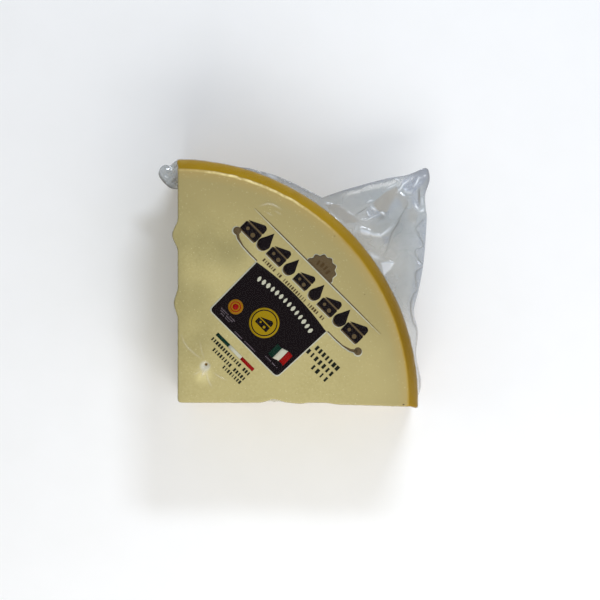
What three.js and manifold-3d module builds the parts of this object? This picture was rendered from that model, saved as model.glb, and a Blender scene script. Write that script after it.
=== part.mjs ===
// A quarter of a hard cheese wheel, split level and skimmed flat, in a tight clear vacuum bag.
// It lies on its lower face. The bag's spare film stands out as a wide ear beyond the rind and as a small
// tab at one corner. Lengths are millimetres and +Z is up. Shapes are made with the wheel's own axis at
// x = 0, y = 0 and the two straight cuts along +X and +Y; the finished pack is then moved over its middle.
import * as THREE from "three";
import { mergeVertices } from "three/addons/utils/BufferGeometryUtils.js";
import Module from "manifold-3d";

// Wheel and slab
const wheelRadius = 200; // rind at its widest
const slabHeight = 100; // half of a wheel that is 200 high
const shoulderWidth = 9; // rounded shoulder between the flat face and the widest rind, seen from above
const shoulderSlope = 50; // degrees from level at which the shoulder leaves the face
const heelHeight = 12; // the rind draws in over this height above the underside
const heelInset = 5;
const edgeRound = 1.6; // film drawn over the edges of the two faces
const cornerRound = 3.5; // corner where the straight cuts meet
const rimRound = 2.5; // corners where a straight cut meets the rind
const rindFlare = 2; // the hard rind stands this far proud of the shrunken paste at each cut

// Straight cuts, seen from above: the left one is level with the axis, the lower one steps and slopes
const leftCutX = 0.2;
const lowerCutY = -2.4;
const lowerStep = { at: 128, half: 7, drop: 1.6 };
const lowerSlope = { from: 136, drop: 1.9 };

// Lumps and chips on the cuts: place along the cut, half length, how far out, and the depth they reach
const leftLumps = [
  { at: 136.5, half: 14, out: 4.6, reach: 90 },
  { at: 80, half: 14, out: 3.1, reach: 70 },
];
const lowerLumps = [
  { at: 80, half: 12, out: -2.9, reach: 26 },
  { at: 101, half: 9, out: 0.8, reach: 40 },
];

// Low waves that the saw left below the face: height, length along the cut, and length down it
const sawWaves = [
  { height: 0.45, length: 96, depth: -210 },
  { height: 0.3, length: 41, depth: 150 },
];

// Dimple drawn into the face, with a small hole at its middle
const dimple = { x: 23.8, y: 29.4, radius: 3.2, depth: 1.4, holeRadius: 1.1, holeDepth: 4 };

// Ear of spare film, two layers lying together, seen from above
const earHeight = 50; // it leaves the rind at half height
const earDroop = 7; // its tip hangs this far lower
const earThickness = 1.6;
const earRoot = 195; // radius at which it is joined to the pack
const earStart = [40.5, 195.3];
const earNotch = [120.5, 169.4];
const earTip = [210.3, 194.4];
const earTopEdge = [[141.5, 176.5], [174, 185.4], [190.1, 188.2], [202, 191.6]];
const earSideEdge = [
  [211.6, 184], [207.8, 170], [209, 151], [206.6, 118], [202.6, 93.7], [197.9, 73],
  [201.4, 56], [199.9, 36], [204, 14], [202.2, 2.6],
];
const earFolds = [
  { towards: 58, lift: 4.5, half: 9 },
  { towards: 44, lift: -3.5, half: 10 },
  { towards: 30, lift: 4, half: 8 },
  { towards: 14, lift: -2.5, half: 9 },
];

// Tab of crumpled film at the upper left corner
const tabHeight = 52;
const tabThickness = 2;
const tabRootX = 3;
const tabTop = 200.3;
const tabFoot = 176.3;
const tabEdge = [
  [-3.6, 200.3], [-8.3, 196.4], [-12.5, 197], [-16.6, 194.4], [-17.8, 187.6], [-10, 178.4], [-2.7, 176.3],
];

// Fineness
const steps = { lowerCut: 38, arc: 62, leftCut: 40, corner: 4, ear: 46, earRows: 7, tab: 12, tabRows: 4 };

const radians = THREE.MathUtils.degToRad;
const smoothstep = THREE.MathUtils.smoothstep;

// A smooth hump: 1 at its middle and 0 past its half length.
function bell(offset, half) {
  const t = Math.min(1, Math.abs(offset) / half);
  return 0.5 + 0.5 * Math.cos(Math.PI * t);
}

// The rind's radius at a depth below the upper face: round shoulder, upright side, drawn-in heel.
function rindRadius(depth) {
  const bend = shoulderWidth / (1 - Math.cos(radians(shoulderSlope)));
  const rise = Math.max(0, bend * Math.sin(radians(shoulderSlope)) - depth);
  const low = Math.max(0, depth - slabHeight + heelHeight) / heelHeight;
  const heel = heelInset * (1 - Math.sqrt(Math.max(0, 1 - low * low)));
  return wheelRadius - bend + Math.sqrt(bend * bend - rise * rise) - heel;
}

// How far a straight cut stands out at a place along it and a depth below the face.
function cutRelief(lumps, along, depth) {
  let out = 0;
  for (const lump of lumps) {
    out += lump.out * bell(along - lump.at, lump.half) * bell(depth, lump.reach);
  }
  for (const wave of sawWaves) {
    const turns = along / wave.length + depth / wave.depth;
    out += wave.height * Math.sin(turns * 2 * Math.PI) * smoothstep(depth, 4, 30);
  }
  return out + rindFlare * smoothstep(along, wheelRadius - shoulderWidth, wheelRadius);
}

function leftCut(y, depth, inset) {
  return leftCutX + inset - cutRelief(leftLumps, y, depth);
}

function lowerCut(x, depth, inset) {
  const step = lowerStep.drop * smoothstep(x, lowerStep.at - lowerStep.half, lowerStep.at + lowerStep.half);
  const slope = lowerSlope.drop * Math.max(0, (x - lowerSlope.from) / (wheelRadius - lowerSlope.from));
  return lowerCutY - step - slope + inset - cutRelief(lowerLumps, x, depth);
}

// The points of a rounded corner, without its last one.
function roundCorner(from, corner, to) {
  return new THREE.QuadraticBezierCurve(from, corner, to).getPoints(steps.corner).slice(0, -1);
}

// One level outline of the slab, anticlockwise from above, with the same number of points at every depth.
function ring(depth, inset) {
  const radius = rindRadius(depth) - 0.4 * inset;
  const at = (x, y) => new THREE.Vector2(x, y);
  const onArc = (angle) => at(radius * Math.cos(angle), radius * Math.sin(angle));
  const farX = Math.sqrt(radius ** 2 - lowerCut(radius, depth, inset) ** 2);
  const farY = Math.sqrt(radius ** 2 - leftCut(radius, depth, inset) ** 2);
  const firstAngle = Math.asin((lowerCut(farX, depth, inset) + rimRound) / radius);
  const lastAngle = Math.acos((leftCut(farY, depth, inset) + rimRound) / radius);
  const along = (from, to, count, place) =>
    Array.from({ length: count }, (_, i) => place(THREE.MathUtils.lerp(from, to, i / count)));

  const lowerPoint = (x) => at(x, lowerCut(x, depth, inset));
  const leftPoint = (y) => at(leftCut(y, depth, inset), y);
  const axisX = leftCut(0, depth, inset);
  const axisY = lowerCut(0, depth, inset);
  const lowerStart = axisX + cornerRound;
  const leftEnd = axisY + cornerRound;
  return [
    ...along(lowerStart, farX - rimRound, steps.lowerCut, lowerPoint),
    ...roundCorner(lowerPoint(farX - rimRound), lowerPoint(farX), onArc(firstAngle)),
    ...along(firstAngle, lastAngle, steps.arc, onArc),
    ...roundCorner(onArc(lastAngle), leftPoint(farY), leftPoint(farY - rimRound)),
    ...along(farY - rimRound, leftEnd, steps.leftCut, leftPoint),
    ...roundCorner(leftPoint(leftEnd), at(axisX, axisY), lowerPoint(lowerStart)),
  ];
}

// The levels of the slab, from its upper face down: depth, and how far the edge rounding draws it in.
function slabLevels() {
  const edge = [0, 30, 60, 90].map((turn) => ({
    depth: edgeRound * (1 - Math.cos(radians(turn))),
    inset: edgeRound * (1 - Math.sin(radians(turn))),
  }));
  const sides = [4.5, 8.5, 13.5, 20, 32, 45, 58, 72, 88, 93, 96.5].map((depth) => ({ depth, inset: 0 }));
  const foot = edge.map(({ depth, inset }) => ({ depth: slabHeight - depth, inset })).reverse();
  return [...edge, ...sides, ...foot];
}

// A closed body through a stack of level outlines, the first of them on top.
function loft(rings, heights) {
  const count = rings[0].length;
  const places = rings.flatMap((points, k) => points.flatMap((p) => [p.x, p.y, heights[k]]));
  const faces = [];
  for (let k = 0; k + 1 < rings.length; k++) {
    for (let i = 0; i < count; i++) {
      const next = (i + 1) % count;
      const [a, b] = [k * count + i, k * count + next];
      const [c, d] = [b + count, a + count];
      faces.push(d, c, b, d, b, a);
    }
  }
  const lowest = (rings.length - 1) * count;
  for (const [a, b, c] of THREE.ShapeUtils.triangulateShape(rings[0], [])) faces.push(a, b, c);
  for (const [a, b, c] of THREE.ShapeUtils.triangulateShape(rings.at(-1), [])) {
    faces.push(lowest + a, lowest + c, lowest + b);
  }
  return meshGeometry(places, faces);
}

// A thin closed sheet: place(u, v) gives its middle surface, and it is as thick as said along Z.
// u runs clockwise and v outwards, seen from above.
function sheet(columns, rows, thickness, place) {
  const places = [];
  for (const side of [0.5, -0.5]) {
    for (let i = 0; i <= columns; i++) {
      for (let j = 0; j <= rows; j++) {
        const p = place(i / columns, j / rows);
        places.push(p.x, p.y, p.z + side * thickness);
      }
    }
  }
  const under = (columns + 1) * (rows + 1);
  const at = (i, j) => i * (rows + 1) + j;
  const faces = [];
  const quad = (a, b, c, d) => faces.push(a, b, c, a, c, d);
  for (let i = 0; i < columns; i++) {
    for (let j = 0; j < rows; j++) {
      const [a, b, c, d] = [at(i, j), at(i + 1, j), at(i + 1, j + 1), at(i, j + 1)];
      quad(a, b, c, d);
      quad(under + d, under + c, under + b, under + a);
    }
  }
  const rim = [];
  for (let i = 0; i < columns; i++) rim.push(at(i, 0));
  for (let j = 0; j < rows; j++) rim.push(at(columns, j));
  for (let i = columns; i > 0; i--) rim.push(at(i, rows));
  for (let j = rows; j > 0; j--) rim.push(at(0, j));
  rim.forEach((a, k) => {
    const b = rim[(k + 1) % rim.length];
    quad(b, a, under + a, under + b);
  });
  return meshGeometry(places, faces);
}

function meshGeometry(places, faces) {
  return new THREE.BufferGeometry()
    .setAttribute("position", new THREE.Float32BufferAttribute(places, 3))
    .setIndex(faces);
}

function slabGeometry() {
  const levels = slabLevels();
  return loft(
    levels.map(({ depth, inset }) => ring(depth, inset)),
    levels.map(({ depth }) => slabHeight - depth),
  );
}

// The space that the dimple and its hole take out of the face.
function dimpleGeometry() {
  const above = 1;
  const profile = [
    [0, -dimple.holeDepth],
    [dimple.holeRadius, -dimple.holeDepth],
    [dimple.holeRadius, -dimple.depth],
    [dimple.radius * 0.55, -dimple.depth * 0.55],
    [dimple.radius, 0],
    [dimple.radius, above],
    [0, above],
  ];
  return new THREE.LatheGeometry(profile.map(([r, z]) => new THREE.Vector2(r, z)), 16)
    .rotateX(Math.PI / 2)
    .translate(dimple.x, dimple.y, slabHeight);
}

// Distance of a point from the line between two others, all seen from above.
function lineDistance(p, from, to) {
  const way = to.clone().sub(from).normalize();
  return way.cross(p.clone().sub(from));
}

function earGeometry() {
  const at = ([x, y]) => new THREE.Vector2(x, y);
  const tip = at(earTip);
  const outline = new THREE.CurvePath();
  outline.add(new THREE.LineCurve(at(earStart), at(earNotch)));
  outline.add(new THREE.SplineCurve([at(earNotch), ...earTopEdge.map(at), tip]));
  outline.add(new THREE.SplineCurve([tip, ...earSideEdge.map(at)]));
  const edge = outline.getSpacedPoints(steps.ear);
  return sheet(steps.ear, steps.earRows, earThickness, (u, v) => {
    const outer = edge[Math.round(u * steps.ear)];
    const root = outer.clone().setLength(earRoot);
    const p = root.lerp(outer, v);
    const beyond = Math.max(0, p.length() - wheelRadius);
    const looseness = smoothstep(beyond, 0, 30);
    let lift = (-earDroop * beyond) / (tip.length() - wheelRadius);
    for (const fold of earFolds) {
      const foot = new THREE.Vector2(wheelRadius, 0).rotateAround(new THREE.Vector2(), radians(fold.towards));
      lift += fold.lift * looseness * bell(lineDistance(p, tip, foot), fold.half);
    }
    return new THREE.Vector3(p.x, p.y, earHeight + lift);
  });
}

function tabGeometry() {
  const outline = new THREE.SplineCurve(tabEdge.map(([x, y]) => new THREE.Vector2(x, y)));
  const edge = outline.getSpacedPoints(steps.tab).reverse();
  return sheet(steps.tab, steps.tabRows, tabThickness, (u, v) => {
    const outer = edge[Math.round(u * steps.tab)];
    const root = new THREE.Vector2(tabRootX, THREE.MathUtils.lerp(tabFoot, tabTop, u));
    const p = root.lerp(outer, v);
    const crumple = 1.2 * Math.sin(p.x / 2.6) * Math.cos(p.y / 3.4);
    return new THREE.Vector3(p.x, p.y, tabHeight + crumple * v);
  });
}

const manifold = await Module();
manifold.setup();

function solid(geometry) {
  for (const name of ["normal", "uv"]) geometry.deleteAttribute(name);
  const merged = mergeVertices(geometry, 1e-3);
  const mesh = new manifold.Mesh({
    numProp: 3,
    vertProperties: merged.attributes.position.array,
    triVerts: new Uint32Array(merged.index.array),
  });
  return new manifold.Manifold(mesh);
}

function geometryOf(body) {
  const { vertProperties, triVerts } = body.getMesh();
  return new THREE.BufferGeometry()
    .setAttribute("position", new THREE.BufferAttribute(vertProperties, 3))
    .setIndex(new THREE.BufferAttribute(triVerts, 1));
}

const body = solid(slabGeometry())
  .subtract(solid(dimpleGeometry()))
  .add(solid(earGeometry()))
  .add(solid(tabGeometry()));
const geometry = geometryOf(body);
geometry.computeVertexNormals();
geometry.computeBoundingBox();
const middle = geometry.boundingBox.getCenter(new THREE.Vector3());

const filmOverPaste = new THREE.MeshStandardMaterial({ color: 0xb0a675, roughness: 0.3, metalness: 0 });
const pack = new THREE.Mesh(geometry, filmOverPaste);
pack.name = "vacuum_pack";
pack.position.set(-middle.x, -middle.y, 0);

const group = new THREE.Group();
group.add(pack);
export default group;
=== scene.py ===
# A quarter of a hard cheese wheel in a tight clear vacuum bag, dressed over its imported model.
# Lengths are millimetres in the wheel's own frame, with its axis at x = 0, y = 0, the two straight cuts
# along +X and +Y, and z = 0 on the floor. They become metres where a mesh is made.
import math

import bpy
import numpy as np
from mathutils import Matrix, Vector, noise
from mathutils.geometry import delaunay_2d_cdt


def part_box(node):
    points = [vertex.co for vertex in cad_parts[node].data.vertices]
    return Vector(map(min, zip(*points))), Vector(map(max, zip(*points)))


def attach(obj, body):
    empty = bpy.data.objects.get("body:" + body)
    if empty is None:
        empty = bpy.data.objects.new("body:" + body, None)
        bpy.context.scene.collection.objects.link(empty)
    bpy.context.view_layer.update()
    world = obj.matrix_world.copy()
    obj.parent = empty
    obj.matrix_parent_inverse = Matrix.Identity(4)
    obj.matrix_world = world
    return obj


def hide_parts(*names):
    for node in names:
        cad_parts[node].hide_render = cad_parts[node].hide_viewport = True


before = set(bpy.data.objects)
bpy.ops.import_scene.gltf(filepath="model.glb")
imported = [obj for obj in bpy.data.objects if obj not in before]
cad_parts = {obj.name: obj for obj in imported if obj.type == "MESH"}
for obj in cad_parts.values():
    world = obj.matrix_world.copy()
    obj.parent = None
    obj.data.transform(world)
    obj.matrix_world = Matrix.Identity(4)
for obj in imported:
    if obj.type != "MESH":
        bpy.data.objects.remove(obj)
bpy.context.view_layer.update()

# Studio: the photograph looks straight down from two metres, in soft daylight that comes in low.
# The camera's frame is 500 mm wide at the rind's widest level, 18 mm below the upper face.
MM = 0.001
EAR_REACH_X = 211.668
TAB_TOP_Y = 200.3
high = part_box("vacuum_pack")[1]
AXIS = np.array((high.x - EAR_REACH_X * MM, high.y - TAB_TOP_Y * MM, 0))

FRAME_WIDTH = 500
FRAME_MIDDLE = np.array((101.417, 82.667, 82))
CAMERA_DISTANCE = 2018
middle = Vector(FRAME_MIDDLE * MM + AXIS)
camera_data = bpy.data.cameras.new("camera")
camera_data.sensor_width = 36
camera_data.lens = camera_data.sensor_width * CAMERA_DISTANCE / FRAME_WIDTH
camera = bpy.data.objects.new("camera", camera_data)
camera.location = middle + Vector((0, 0, CAMERA_DISTANCE * MM))
bpy.context.collection.objects.link(camera)
bpy.context.scene.camera = camera


def linear(hex_colour):
    """An sRGB hex colour as the linear values that shaders and lamps read."""
    parts = [int(hex_colour[k:k + 2], 16) / 255 for k in (1, 3, 5)]
    return [c / 12.92 if c <= 0.04045 else ((c + 0.055) / 1.055) ** 2.4 for c in parts] + [1]


def soft_box(name, azimuth, slant, distance, width, height, watts, colour):
    """A square lamp aimed at the slab: azimuth from +X towards +Y, slant from straight overhead."""
    light = bpy.data.lights.new(name, "AREA")
    light.shape = "RECTANGLE"
    light.size = width
    light.size_y = height
    light.energy = watts
    light.color = linear(colour)[:3]
    out = Vector((
        math.sin(math.radians(slant)) * math.cos(math.radians(azimuth)),
        math.sin(math.radians(slant)) * math.sin(math.radians(azimuth)),
        math.cos(math.radians(slant)),
    ))
    holder = bpy.data.objects.new(name, light)
    holder.rotation_mode = "QUATERNION"
    holder.rotation_quaternion = out.to_track_quat("Z", "Y")
    holder.location = middle + out * distance
    bpy.context.collection.objects.link(holder)


soft_box("front_light", -78, 50, 1.2, 1.1, 0.7, 9.2, "#fffdfa")
soft_box("left_light", 172, 55, 1.5, 1.0, 1.0, 1.5, "#fffefb")
soft_box("right_light", -30, 62, 1.7, 1.0, 1.0, 3.4, "#fdfeff")
soft_box("window_light", 70, 44, 1.4, 0.4, 0.14, 7.5, "#e8f1ff")

world = bpy.data.worlds.new("studio")
world.use_nodes = True
world.node_tree.nodes["Background"].inputs["Color"].default_value = linear("#f4f6f8")
world.node_tree.nodes["Background"].inputs["Strength"].default_value = 0.42
bpy.context.scene.world = world
bpy.context.scene.view_settings.view_transform = "Standard"


def add(tree, kind, inputs=None, **settings):
    """Adds a node, sets it, and gives each input a value or links it to the socket it comes from."""
    made = tree.nodes.new(kind)
    for name, value in settings.items():
        setattr(made, name, value)
    for socket, value in (inputs or {}).items():
        if isinstance(value, bpy.types.NodeSocket):
            tree.links.new(value, made.inputs[socket])
        else:
            made.inputs[socket].default_value = value
    return made


def new_material(name):
    """An empty material and its node tree."""
    material = bpy.data.materials.new(name)
    material.use_nodes = True
    material.node_tree.nodes.clear()
    return material, material.node_tree


def mottled(name, size, colours, roughness, sheen=0.5, detail=2):
    """A material that wavers between two colours, in clouds of a size in millimetres."""
    material, tree = new_material(name)
    where = add(tree, "ShaderNodeTexCoord").outputs["Object"]
    clouds = add(tree, "ShaderNodeTexNoise", {"Vector": where, "Scale": 1 / (size * MM), "Detail": detail})
    colour = add(tree, "ShaderNodeMix", {
        "Factor": clouds.outputs["Fac"], 6: linear(colours[0]), 7: linear(colours[1]),
    }, data_type="RGBA")
    body = add(tree, "ShaderNodeBsdfPrincipled", {
        "Base Color": colour.outputs[2], "Roughness": roughness, "Specular IOR Level": sheen,
    })
    add(tree, "ShaderNodeOutputMaterial", {"Surface": body.outputs[0]})
    return material


# Painted board under the pack, matt and almost white, with the faint unevenness of a rolled coat.
board = mottled("matt_white_painted_board", 40, ("#f6f6f5", "#fafafa"), 0.9, 0.1, 4)

FLOOR_DROP = 0.3  # the film's underside lies this far above the floor's mesh
FLOOR_HALF = 3000
corners = np.array([(-1, -1), (1, -1), (1, 1), (-1, 1)]) * FLOOR_HALF
floor_mesh = bpy.data.meshes.new("floor")
floor_mesh.from_pydata([(x * MM, y * MM, -FLOOR_DROP * MM) for x, y in corners], [], [(0, 1, 2, 3)])
floor_mesh.materials.append(board)
floor = bpy.data.objects.new("floor", floor_mesh)
bpy.context.collection.objects.link(floor)


# Cheese: the quarter slab itself, pale granular paste with its hard golden rind left on the round side.
# It was split level and skimmed flat above, and sawn along the two straight cuts, which kept a few lumps
# and a chip. Its surface lies just inside the film's.
WHEEL_RADIUS = 200
SLAB_HEIGHT = 100
SHOULDER_WIDTH = 9
SHOULDER_SLOPE = math.radians(50)
HEEL_HEIGHT = 12
HEEL_INSET = 5
EDGE_ROUND = 1.6
CORNER_ROUND = 3.5
RIM_ROUND = 2.5
RIND_FLARE = 2
LEFT_CUT_X = 0.2
LOWER_CUT_Y = -2.4
LOWER_STEP = {"at": 128, "half": 7, "drop": 1.6}
LOWER_SLOPE = {"start": 136, "drop": 1.9}
LEFT_LUMPS = (  # place along the cut, half length, how far out, depth reached
    (136.5, 14, 4.6, 90),
    (80, 14, 3.1, 70),
)
LOWER_LUMPS = (
    (80, 12, -2.9, 26),
    (101, 9, 0.8, 40),
)
SAW_WAVES = (  # height, length along the cut, length down it
    (0.45, 96, -210),
    (0.3, 41, 150),
)
FACE_SWELLS = ((37, 124, 12, -1.0), (27, 108, 12, 1.3))  # place seen from above, width, height
DIMPLE = {"x": 23.8, "y": 29.4, "radius": 3.2, "depth": 1.4, "hole_radius": 1.0, "hole_depth": 2.4}
UNDER_RIND = 7  # thickness of the rind under the slab, which was the wheel's lower face
FACE_RIM = 190  # radius at which the skimmed face meets the rind's shoulder
BURR_TURNS = (42, 89)  # headings, in degrees, between which the skimming left a burr
# Painted shade: darker patches painted into the paste's colour where less light falls, mostly on the left of
# the face.
PAINTED_SHADE_PATCHES = (  # place seen from above, reach and share
    (45, 123, 24, 0.55), (22, 132, 28, 0.46), (6, 134, 18, 0.15), (12, 157, 20, 0.2), (15, 84, 24, 0.4),
    (24, 63, 24, 0.3), (16, 44, 22, 0.32),
)
# Painted light: lighter patches painted into the paste's colour at the lower right, where more light falls.
PAINTED_LIGHT_PATCHES = ((168, 10, 42, 0.18), (160, 42, 28, 0.11))
FILM_GAP = 0.45  # from the pack's outside to the cheese: film, print and a trace of whey


def smoothstep(value, start, end):
    """0 before start, 1 after end, and smooth between them."""
    share = np.clip((value - start) / (end - start), 0, 1)
    return share * share * (3 - 2 * share)


def bell(offset, half):
    """A smooth hump: 1 at its middle and 0 past its half length."""
    return 0.5 + 0.5 * np.cos(np.pi * np.clip(np.abs(offset) / half, 0, 1))


def rind_radius(depth):
    """The rind's radius at a depth below the face: round shoulder, upright side, drawn-in heel."""
    bend = SHOULDER_WIDTH / (1 - math.cos(SHOULDER_SLOPE))
    rise = max(0, bend * math.sin(SHOULDER_SLOPE) - depth)
    heel = max(0, depth - SLAB_HEIGHT + HEEL_HEIGHT) / HEEL_HEIGHT
    inset = HEEL_INSET * (1 - math.sqrt(max(0, 1 - heel * heel)))
    return WHEEL_RADIUS - bend + math.sqrt(bend * bend - rise * rise) - inset


def cut_relief(lumps, along, depth):
    """How far a straight cut stands out at a place along it and a depth below the face."""
    out = RIND_FLARE * smoothstep(along, WHEEL_RADIUS - SHOULDER_WIDTH, WHEEL_RADIUS)
    for at, half, height, reach in lumps:
        out = out + height * bell(along - at, half) * bell(depth, reach)
    for height, length, fall in SAW_WAVES:
        turns = along / length + depth / fall
        out = out + height * np.sin(turns * 2 * np.pi) * smoothstep(depth, 4, 30)
    return out


def left_cut(y, depth, inset):
    return LEFT_CUT_X + inset - cut_relief(LEFT_LUMPS, y, depth)


def lower_cut(x, depth, inset):
    start = LOWER_STEP["at"] - LOWER_STEP["half"]
    step = LOWER_STEP["drop"] * smoothstep(x, start, start + 2 * LOWER_STEP["half"])
    run = np.maximum(0, x - LOWER_SLOPE["start"]) / (WHEEL_RADIUS - LOWER_SLOPE["start"])
    slope = LOWER_SLOPE["drop"] * run
    return LOWER_CUT_Y - step - slope + inset - cut_relief(LOWER_LUMPS, x, depth)


def ring(depth, inset, shell, cut_points=150, arc_points=230, corner_points=6):
    """One level outline of the slab, anticlockwise from above, drawn in by its edge rounding and shell."""
    radius = rind_radius(depth) - 0.4 * inset - shell
    inset = inset + shell
    far_x = math.sqrt(radius ** 2 - lower_cut(radius, depth, inset) ** 2)
    far_y = math.sqrt(radius ** 2 - left_cut(radius, depth, inset) ** 2)
    peaks = np.array((
        (far_x, lower_cut(far_x, depth, inset)),
        (left_cut(far_y, depth, inset), far_y),
        (left_cut(0, depth, inset), lower_cut(0, depth, inset)),
    ))
    first = math.asin((peaks[0, 1] + RIM_ROUND) / radius)
    last = math.acos((peaks[1, 0] + RIM_ROUND) / radius)
    x = np.linspace(peaks[2, 0] + CORNER_ROUND, far_x - RIM_ROUND, cut_points + 1)
    y = np.linspace(far_y - RIM_ROUND, peaks[2, 1] + CORNER_ROUND, cut_points + 1)
    turn = np.linspace(first, last, arc_points + 1)
    runs = (
        np.column_stack((x, lower_cut(x, depth, inset))),
        radius * np.column_stack((np.cos(turn), np.sin(turn))),
        np.column_stack((left_cut(y, depth, inset), y)),
    )
    outline = []
    t = np.linspace(0, 1, corner_points, endpoint=False)[:, None]
    for run, peak, after in zip(runs, peaks, (*runs[1:], runs[0])):
        outline += [run[:-1], run[-1] * (1 - t) ** 2 + 2 * peak * t * (1 - t) + after[0] * t ** 2]
    return np.vstack(outline)


def along_line(points, line):
    """Each point's distance from a broken line, and its place along it from 0 to 1."""
    nearest = np.full(len(points), np.inf)
    place = np.zeros(len(points))
    steps = np.linalg.norm(np.diff(line, axis=0), axis=1)
    passed = 0
    for start, end, length in zip(line[:-1], line[1:], steps):
        way = (end - start) / length
        share = np.clip((points - start) @ way, 0, length)
        distance = np.linalg.norm(points - start - share[:, None] * way, axis=1)
        closer = distance < nearest
        nearest[closer] = distance[closer]
        place[closer] = (passed + share[closer]) / steps.sum()
        passed += length
    return nearest, place


def inside(points, loops):
    """True for each point that lies within the outlines, and outside their holes."""
    odd = np.zeros(len(points), bool)
    x, y = points.T
    for loop in loops:
        for (x0, y0), (x1, y1) in zip(loop, np.roll(loop, -1, axis=0)):
            if y0 != y1:
                odd ^= ((y0 > y) != (y1 > y)) & (x < x0 + (y - y0) / (y1 - y0) * (x1 - x0))
    return odd


def closed(loop):
    """An outline with its first point again at its end."""
    return np.vstack((loop, loop[:1]))


def raised(points, height):
    """Flat points as places, all at one height or each at its own."""
    return np.column_stack((points, np.broadcast_to(np.asarray(height, float), len(points))))


def honeycomb(points, margin, spacing):
    """Evenly staggered points over the rectangle round some points."""
    low_x, low_y = points.min(axis=0) - margin
    high_x, high_y = points.max(axis=0) + margin
    rows = np.arange(low_y, high_y, spacing * math.sqrt(3) / 2)
    columns = np.arange(low_x, high_x, spacing)
    x, y = np.meshgrid(columns, rows)
    x = x + spacing / 2 * (np.arange(len(rows)) % 2)[:, None]
    return np.column_stack((x.ravel(), y.ravel()))


def fill(loops, spacing, finer=()):
    """Triangles over an outline and its holes, with points inside every spacing, closer near some lines.

    Gives all points, those of the loops first, and the triangles, anticlockwise."""
    rim = np.vstack(loops)
    inner = honeycomb(rim, 0, spacing)
    for line, reach, close in finer:
        inner = inner[along_line(inner, line)[0] > reach]
        patch = honeycomb(line, reach, close)
        inner = np.vstack((inner, patch[along_line(patch, line)[0] <= reach]))
    inner = inner[inside(inner, loops)]
    for loop in loops:
        inner = inner[along_line(inner, closed(loop))[0] > 0.4 * min(spacing, 1.5)]
    points = np.vstack((rim, inner))
    edges = []
    first = 0
    for loop in loops:
        count = len(loop)
        edges += [(first + i, first + (i + 1) % count) for i in range(count)]
        first += count
    faces, sources = delaunay_2d_cdt([Vector(point) for point in points], edges, [], 0, 1e-5)[2:4]
    source = np.array([origin[0] if origin else -1 for origin in sources])
    triangles = source[np.array(faces)]
    a, b, c = (points[triangles[:, k]] for k in range(3))
    turned = np.cross(b - a, c - a) < 0
    triangles[turned] = triangles[turned][:, ::-1]
    return points, triangles[inside((a + b + c) / 3, loops)]


def face_lift(points):
    """How far the cheese's face rises or dips: long low waves, a hollow, a swelling and the dimple."""
    x, y = points.T
    lift = 0.10 * np.sin(x / 17 + 0.6) * np.cos(y / 23) + 0.08 * np.sin((x + y) / 13)
    for at_x, at_y, width, height in FACE_SWELLS:
        lift = lift + height * np.exp(-((x - at_x) ** 2 + (y - at_y) ** 2) / width ** 2)
    centre = np.hypot(x - DIMPLE["x"], y - DIMPLE["y"])
    return lift - DIMPLE["depth"] * bell(centre, 1.3 * DIMPLE["radius"])


def slab(shell, spacing, finer, lift):
    """The slab's closed surface, drawn in by shell all round: places and faces."""
    edge = EDGE_ROUND - shell
    turns = np.radians(np.linspace(0, 90, 7))
    rounding = [(shell + edge * (1 - math.cos(t)), edge * (1 - math.sin(t))) for t in turns]
    # The levels lie closer at both edges.
    sides = [*np.arange(2.6, 14, 0.9), *np.arange(14.6, 87, 3), *np.arange(88, 98, 1.4)]
    foot = [(SLAB_HEIGHT - depth, inset) for depth, inset in reversed(rounding)]
    levels = [*rounding, *((depth, 0) for depth in sides), *foot]
    outlines = [ring(depth, inset, shell) for depth, inset in levels]
    count = len(outlines[0])
    wall = [raised(outline, SLAB_HEIGHT - depth) for outline, (depth, _) in zip(outlines, levels)]
    starts = [(k * count, i, (i + 1) % count) for k in range(len(levels) - 1) for i in range(count)]
    faces = [(k + count + i, k + count + beside, k + beside, k + i) for k, i, beside in starts]

    points, triangles = fill([outlines[0]], spacing, finer)
    inner = points[count:]
    edge_distance = along_line(inner, closed(outlines[0]))[0]
    face = raised(inner, SLAB_HEIGHT - shell + lift(inner) * smoothstep(edge_distance, 0, 4))
    wall_size = len(levels) * count
    shift = wall_size - count
    faces += [tuple(i if i < count else i + shift for i in triangle) for triangle in triangles.tolist()]

    points, triangles = fill([outlines[-1]], 12)
    base = raised(points[count:], shell)
    last_ring = wall_size - count
    shift = wall_size + len(face) - count
    faces += [
        tuple(i + last_ring if i < count else i + shift for i in reversed(triangle))
        for triangle in triangles.tolist()
    ]
    return np.vstack((*wall, face, base)), faces


def make_piece(name, places, faces, material):
    """A smooth mesh object from places in wheel millimetres, its own origin at the scene's."""
    mesh = bpy.data.meshes.new(name)
    mesh.from_pydata((np.asarray(places) * MM + AXIS).tolist(), [], faces)
    mesh.materials.append(material)
    mesh.shade_smooth()
    piece = bpy.data.objects.new(name, mesh)
    bpy.context.collection.objects.link(piece)
    return piece


def rumple(places, size):
    """Smooth noise between -1 and 1 at each place, with features of about the given size (one or three)."""
    scaled = np.asarray(places) / size
    return np.array([noise.noise(Vector(place)) for place in scaled])


def vectors(items, name):
    """One vector of each of a mesh's vertices or normals."""
    values = np.empty(len(items) * 3)
    items.foreach_get(name, values)
    return values.reshape(-1, 3)


def swell(piece, amount):
    """Moves each vertex of a piece along its normal by an amount in millimetres."""
    mesh = piece.data
    normals = vectors(mesh.vertex_normals, "vector")
    moved = vectors(mesh.vertices, "co") + normals * (np.asarray(amount) * MM)[:, None]
    mesh.vertices.foreach_set("co", moved.ravel())
    mesh.update()


def side_relief(places):
    """Slow swells of the cut and moulded sides, which both the cheese and the film over it follow."""
    below = smoothstep(SLAB_HEIGHT - places[:, 2], 1, 12)
    above = smoothstep(places[:, 2], 1, 8)
    return 0.35 * rumple(places, 26) * below * above


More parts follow.
